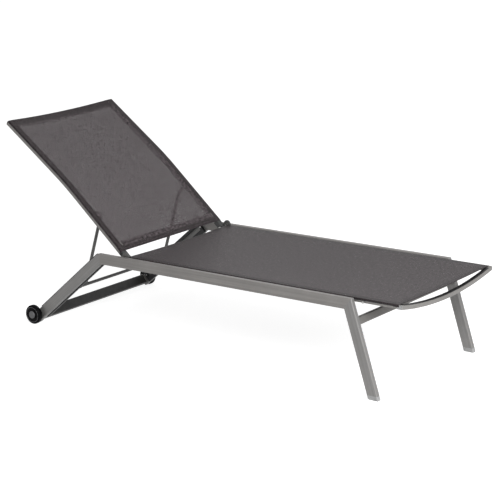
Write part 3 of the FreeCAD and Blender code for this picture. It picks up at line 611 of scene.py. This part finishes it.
# along the backrest from the hinge, and forward of the middle of its tubes
def backPoint(along, forward):
    lower, upper = back["angle"], back["angle"] - back["bend"]
    bendLength = back["bendRadius"] * back["bend"]
    point = hinge + Vector((-math.cos(lower), 0, math.sin(lower))) * min(along, back["lowerRun"])
    angle = lower
    if along > back["lowerRun"]:
        turned = min(along - back["lowerRun"], bendLength) / back["bendRadius"]
        centre = point - Vector((math.sin(lower), 0, math.cos(lower))) * back["bendRadius"]
        angle = lower - turned
        point = centre + Vector((math.sin(angle), 0, math.cos(angle))) * back["bendRadius"]
    if along > back["lowerRun"] + bendLength:
        rest = along - back["lowerRun"] - bendLength
        point = point + Vector((-math.cos(upper), 0, math.sin(upper))) * rest
    return point + Vector((math.sin(angle), 0, math.cos(angle))) * forward


backLow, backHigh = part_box("back_side_tube_far")
backOuter = backHigh.y + sling["lift"]
backTurn = back["length"] + sling["lift"] - sling["corner"]   # where it turns over the top tube
backStraight = backTurn - back["hemStart"] - sling["hemRadius"]
backRows = clothStops([(sling["flap"] + back["topFlap"], 3), (cornerTurn, 5),
                       (backStraight, back["rows"]), *hemRuns[::-1]])
backColumns = clothStops(acrossRuns(backLow.y, backOuter))
hemPlace = backRows[-1] - sling["hem"] - hemTurn    # on the flat cloth, of the lower hem's turn
topPlace = hemPlace - backStraight                  # and of the turn over the top tube
backStitch = hemPlace - sling["hem"] + sling["stitchIn"]
cloth = flatCloth(backRows, backColumns)
for vert in cloth.verts:
    if vert.co.x > 0:
        out, fold = turnOver(vert.co.x, hemPlace, sling["hemRadius"], math.pi)
        along = back["hemStart"] + sling["hemRadius"] + hemPlace - out
    else:
        out, fold = turnOver(-vert.co.x, -topPlace, sling["corner"], math.pi / 2)
        along = backTurn + topPlace + out
    toEnd = back["length"] - along
    held = smoothStep(*back["lowerHeld"], along) * smoothStep(*back["upperHeld"], toEnd)
    sagStart = back["lowerHeld"][0]
    pulled = back["topSag"] * max(0.0, along - sagStart) / (back["length"] - sagStart)
    y, up = wrapAcross(vert.co.y, backLow.y, backOuter, back["sag"] * held + pulled)
    place = backPoint(along, back["tubeTop"] + sling["lift"] + up - fold)
    vert.co = (place.x, y, place.z)
backWeave = meshWeave("backWeave", [backStitch, backStitch + 2 * sling["stitchIn"]],
                      backOuter - sling["corner"] - sling["stitchIn"], back["patchy"])
backMesh = finishCloth(cloth, "backMesh", backWeave, "backrest", "back_sling")
print("slings stretched over the tubes, with folded hems")

bead = {
    "radius": 0.0019,
    "step": 0.0017,
    "wobble": 0.00025,
}
welded = {       # the tubes whose two ends are welded, with the size of the end
    "rear_cross_bar": {"angle": rearLegAngle, "wide": 0.018, "deep": 0.040, "corner": 0.004,
                       "bodyName": "frame"},
    "front_cross_bar": {"angle": frontLegAngle, "wide": 0.020, "deep": 0.028, "corner": 0.004,
                        "bodyName": "frame"},
    "back_bottom_tube": {"angle": -back["angle"], "wide": 0.020, "deep": 0.020, "corner": 0.003,
                         "bodyName": "backrest"},
}


# a welded seam: overlapping drops round the end of a tube
def weldBead(name, centre, angle, wide, deep, corner, bodyName):
    drops = bmesh.new()
    random.seed(name)
    across = Vector((math.cos(angle), 0, math.sin(angle)))
    upward = Vector((-math.sin(angle), 0, math.cos(angle)))
    halfWide, halfDeep = wide / 2 - corner, deep / 2 - corner
    cornerArc = corner * math.pi / 2
    runs = ((2 * halfWide, 0), (cornerArc, 1), (2 * halfDeep, 0), (cornerArc, 1)) * 2
    place, heading = Vector((-halfWide, deep / 2)), 0.0
    for length, turns in runs:
        steps = max(1, round(length / bead["step"]))
        for step in range(steps):
            drift = Vector([random.uniform(-1, 1) * bead["wobble"] for axis in range(3)])
            spot = centre + across * place.x + upward * place.y + drift
            bmesh.ops.create_icosphere(drops, subdivisions=1, radius=bead["radius"],
                                       matrix=Matrix.Translation(spot))
            middle = heading - (math.pi / 4 / steps if turns else 0)
            chord = 2 * corner * math.sin(math.pi / 4 / steps) if turns else length / steps
            place += Vector((math.cos(middle), math.sin(middle))) * chord
            heading -= math.pi / 2 / steps if turns else 0
    piece = newPiece(drops, name, finishes["frameCoat"])
    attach(piece, bodyName)


for node, weld in welded.items():
    low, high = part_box(node)
    for side, y in (("near", low.y), ("far", high.y)):
        centre = Vector(((low.x + high.x) / 2, y, (low.z + high.z) / 2))
        weldBead(node + "_weld_" + side, centre, **weld)
print("weld beads laid")

lip = {
    "radius": 0.0293,        # between the groove in the wheel's face and its tyre
    "thick": 0.0008,
    "turns": 72,
    "sides": 8,
}


# a rounded rim raised on the outer face of a wheel, in the paler hub plastic against the black wheel: partly a
# painted highlight ring
def wheelLip(side):
    low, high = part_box("wheel_body_" + side)
    face = low.y if side == "near" else high.y
    centre = Vector(((low.x + high.x) / 2, face, (low.z + high.z) / 2))
    rim = bmesh.new()
    bmesh.ops.create_circle(rim, segments=lip["sides"], radius=lip["thick"],
                            matrix=Matrix.Translation(centre + Vector((lip["radius"], 0, 0))))
    bmesh.ops.spin(rim, geom=rim.edges[:], cent=centre, axis=(0, 1, 0), angle=2 * math.pi,
                   steps=lip["turns"], use_merge=True)
    # painted highlight: the rim takes the paler hub plastic
    piece = newPiece(rim, "wheel_lip_" + side, finishes["hubPlastic"])
    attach(piece, "wheel_" + side)


for side in ("near", "far"):
    wheelLip(side)
print("wheel rims raised")

studio = {
    "floorSize": 30,
    "floorColour": (0.45, 0.45, 0.45),
    "floorRoughness": 0.9,
    "floorGlow": 0.85,
    "worldStrength": 0.32,
    "aim": (0.1, 0, 0.3),      # what the lights point at
    "lens": 122.19,
    "sensor": 36,
    "cameraPlace": (3.75915, -4.87830, 1.95328),
    "yaw": 37.2694,
    "pitch": 14.7331,
    "roll": -0.75,
}
lights = {
    "keyLight": {"place": (2.9, -2.4, 2.6), "size": 2.0, "power": 162},
    "frontLight": {"place": (3.7, -0.3, 2.0), "size": 1.3, "power": 68},
    "fillLight": {"place": (-1.8, -3.2, 3.2), "size": 2.6, "power": 4},
}


# 1 for rays that show, mirror or let through the surroundings, 0 for those that light a piece
def shownRays(tree):
    rays = addNode(tree, "ShaderNodeLightPath").outputs
    return mathNode(tree, "MAXIMUM", rays["Is Camera Ray"],
                    mathNode(tree, "MAXIMUM", rays["Is Glossy Ray"], rays["Is Transmission Ray"]))


floorMaterial, tree, shader = newMaterial("paleFloor")
shader.inputs["Base Color"].default_value = (*studio["floorColour"], 1)
shader.inputs["Roughness"].default_value = studio["floorRoughness"]
shader.inputs["Emission Color"].default_value = (1, 1, 1, 1)
connect(tree, mathNode(tree, "MULTIPLY", shownRays(tree), studio["floorGlow"]),
        shader.inputs["Emission Strength"])
floor = bmesh.new()
bmesh.ops.create_grid(floor, x_segments=1, y_segments=1, size=studio["floorSize"])
studioFloor = newPiece(floor, "studioFloor", floorMaterial, smooth=False)
studioFloor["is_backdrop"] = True

world = bpy.data.worlds.new("studioWorld")
bpy.context.scene.world = world
world.use_nodes = True
tree = world.node_tree
background = tree.nodes["Background"]
background.inputs["Color"].default_value = (1, 1, 1, 1)
connect(tree, rampNode(tree, shownRays(tree), 0, 1, studio["worldStrength"], 1),
        background.inputs["Strength"])


def areaLight(name, place, size, power):
    data = bpy.data.lights.new(name, "AREA")
    data.shape = "DISK"
    data.size = size
    data.energy = power
    lamp = bpy.data.objects.new(name, data)
    lamp.location = place
    aim = Vector(studio["aim"]) - Vector(place)
    lamp.rotation_euler = aim.to_track_quat("-Z", "Y").to_euler()
    bpy.context.scene.collection.objects.link(lamp)


for name, light in lights.items():
    areaLight(name, **light)

cameraData = bpy.data.cameras.new("productCamera")
cameraData.lens = studio["lens"]
cameraData.sensor_width = studio["sensor"]
camera = bpy.data.objects.new("productCamera", cameraData)
turn = (Matrix.Rotation(math.radians(studio["yaw"]), 4, "Z")
        @ Matrix.Rotation(math.radians(90 - studio["pitch"]), 4, "X")
        @ Matrix.Rotation(math.radians(studio["roll"]), 4, "Z"))
camera.matrix_world = Matrix.Translation(studio["cameraPlace"]) @ turn
bpy.context.scene.collection.objects.link(camera)
bpy.context.scene.camera = camera
bpy.context.scene.view_settings.view_transform = "Standard"
print("floor, light and camera set")

low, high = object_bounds()
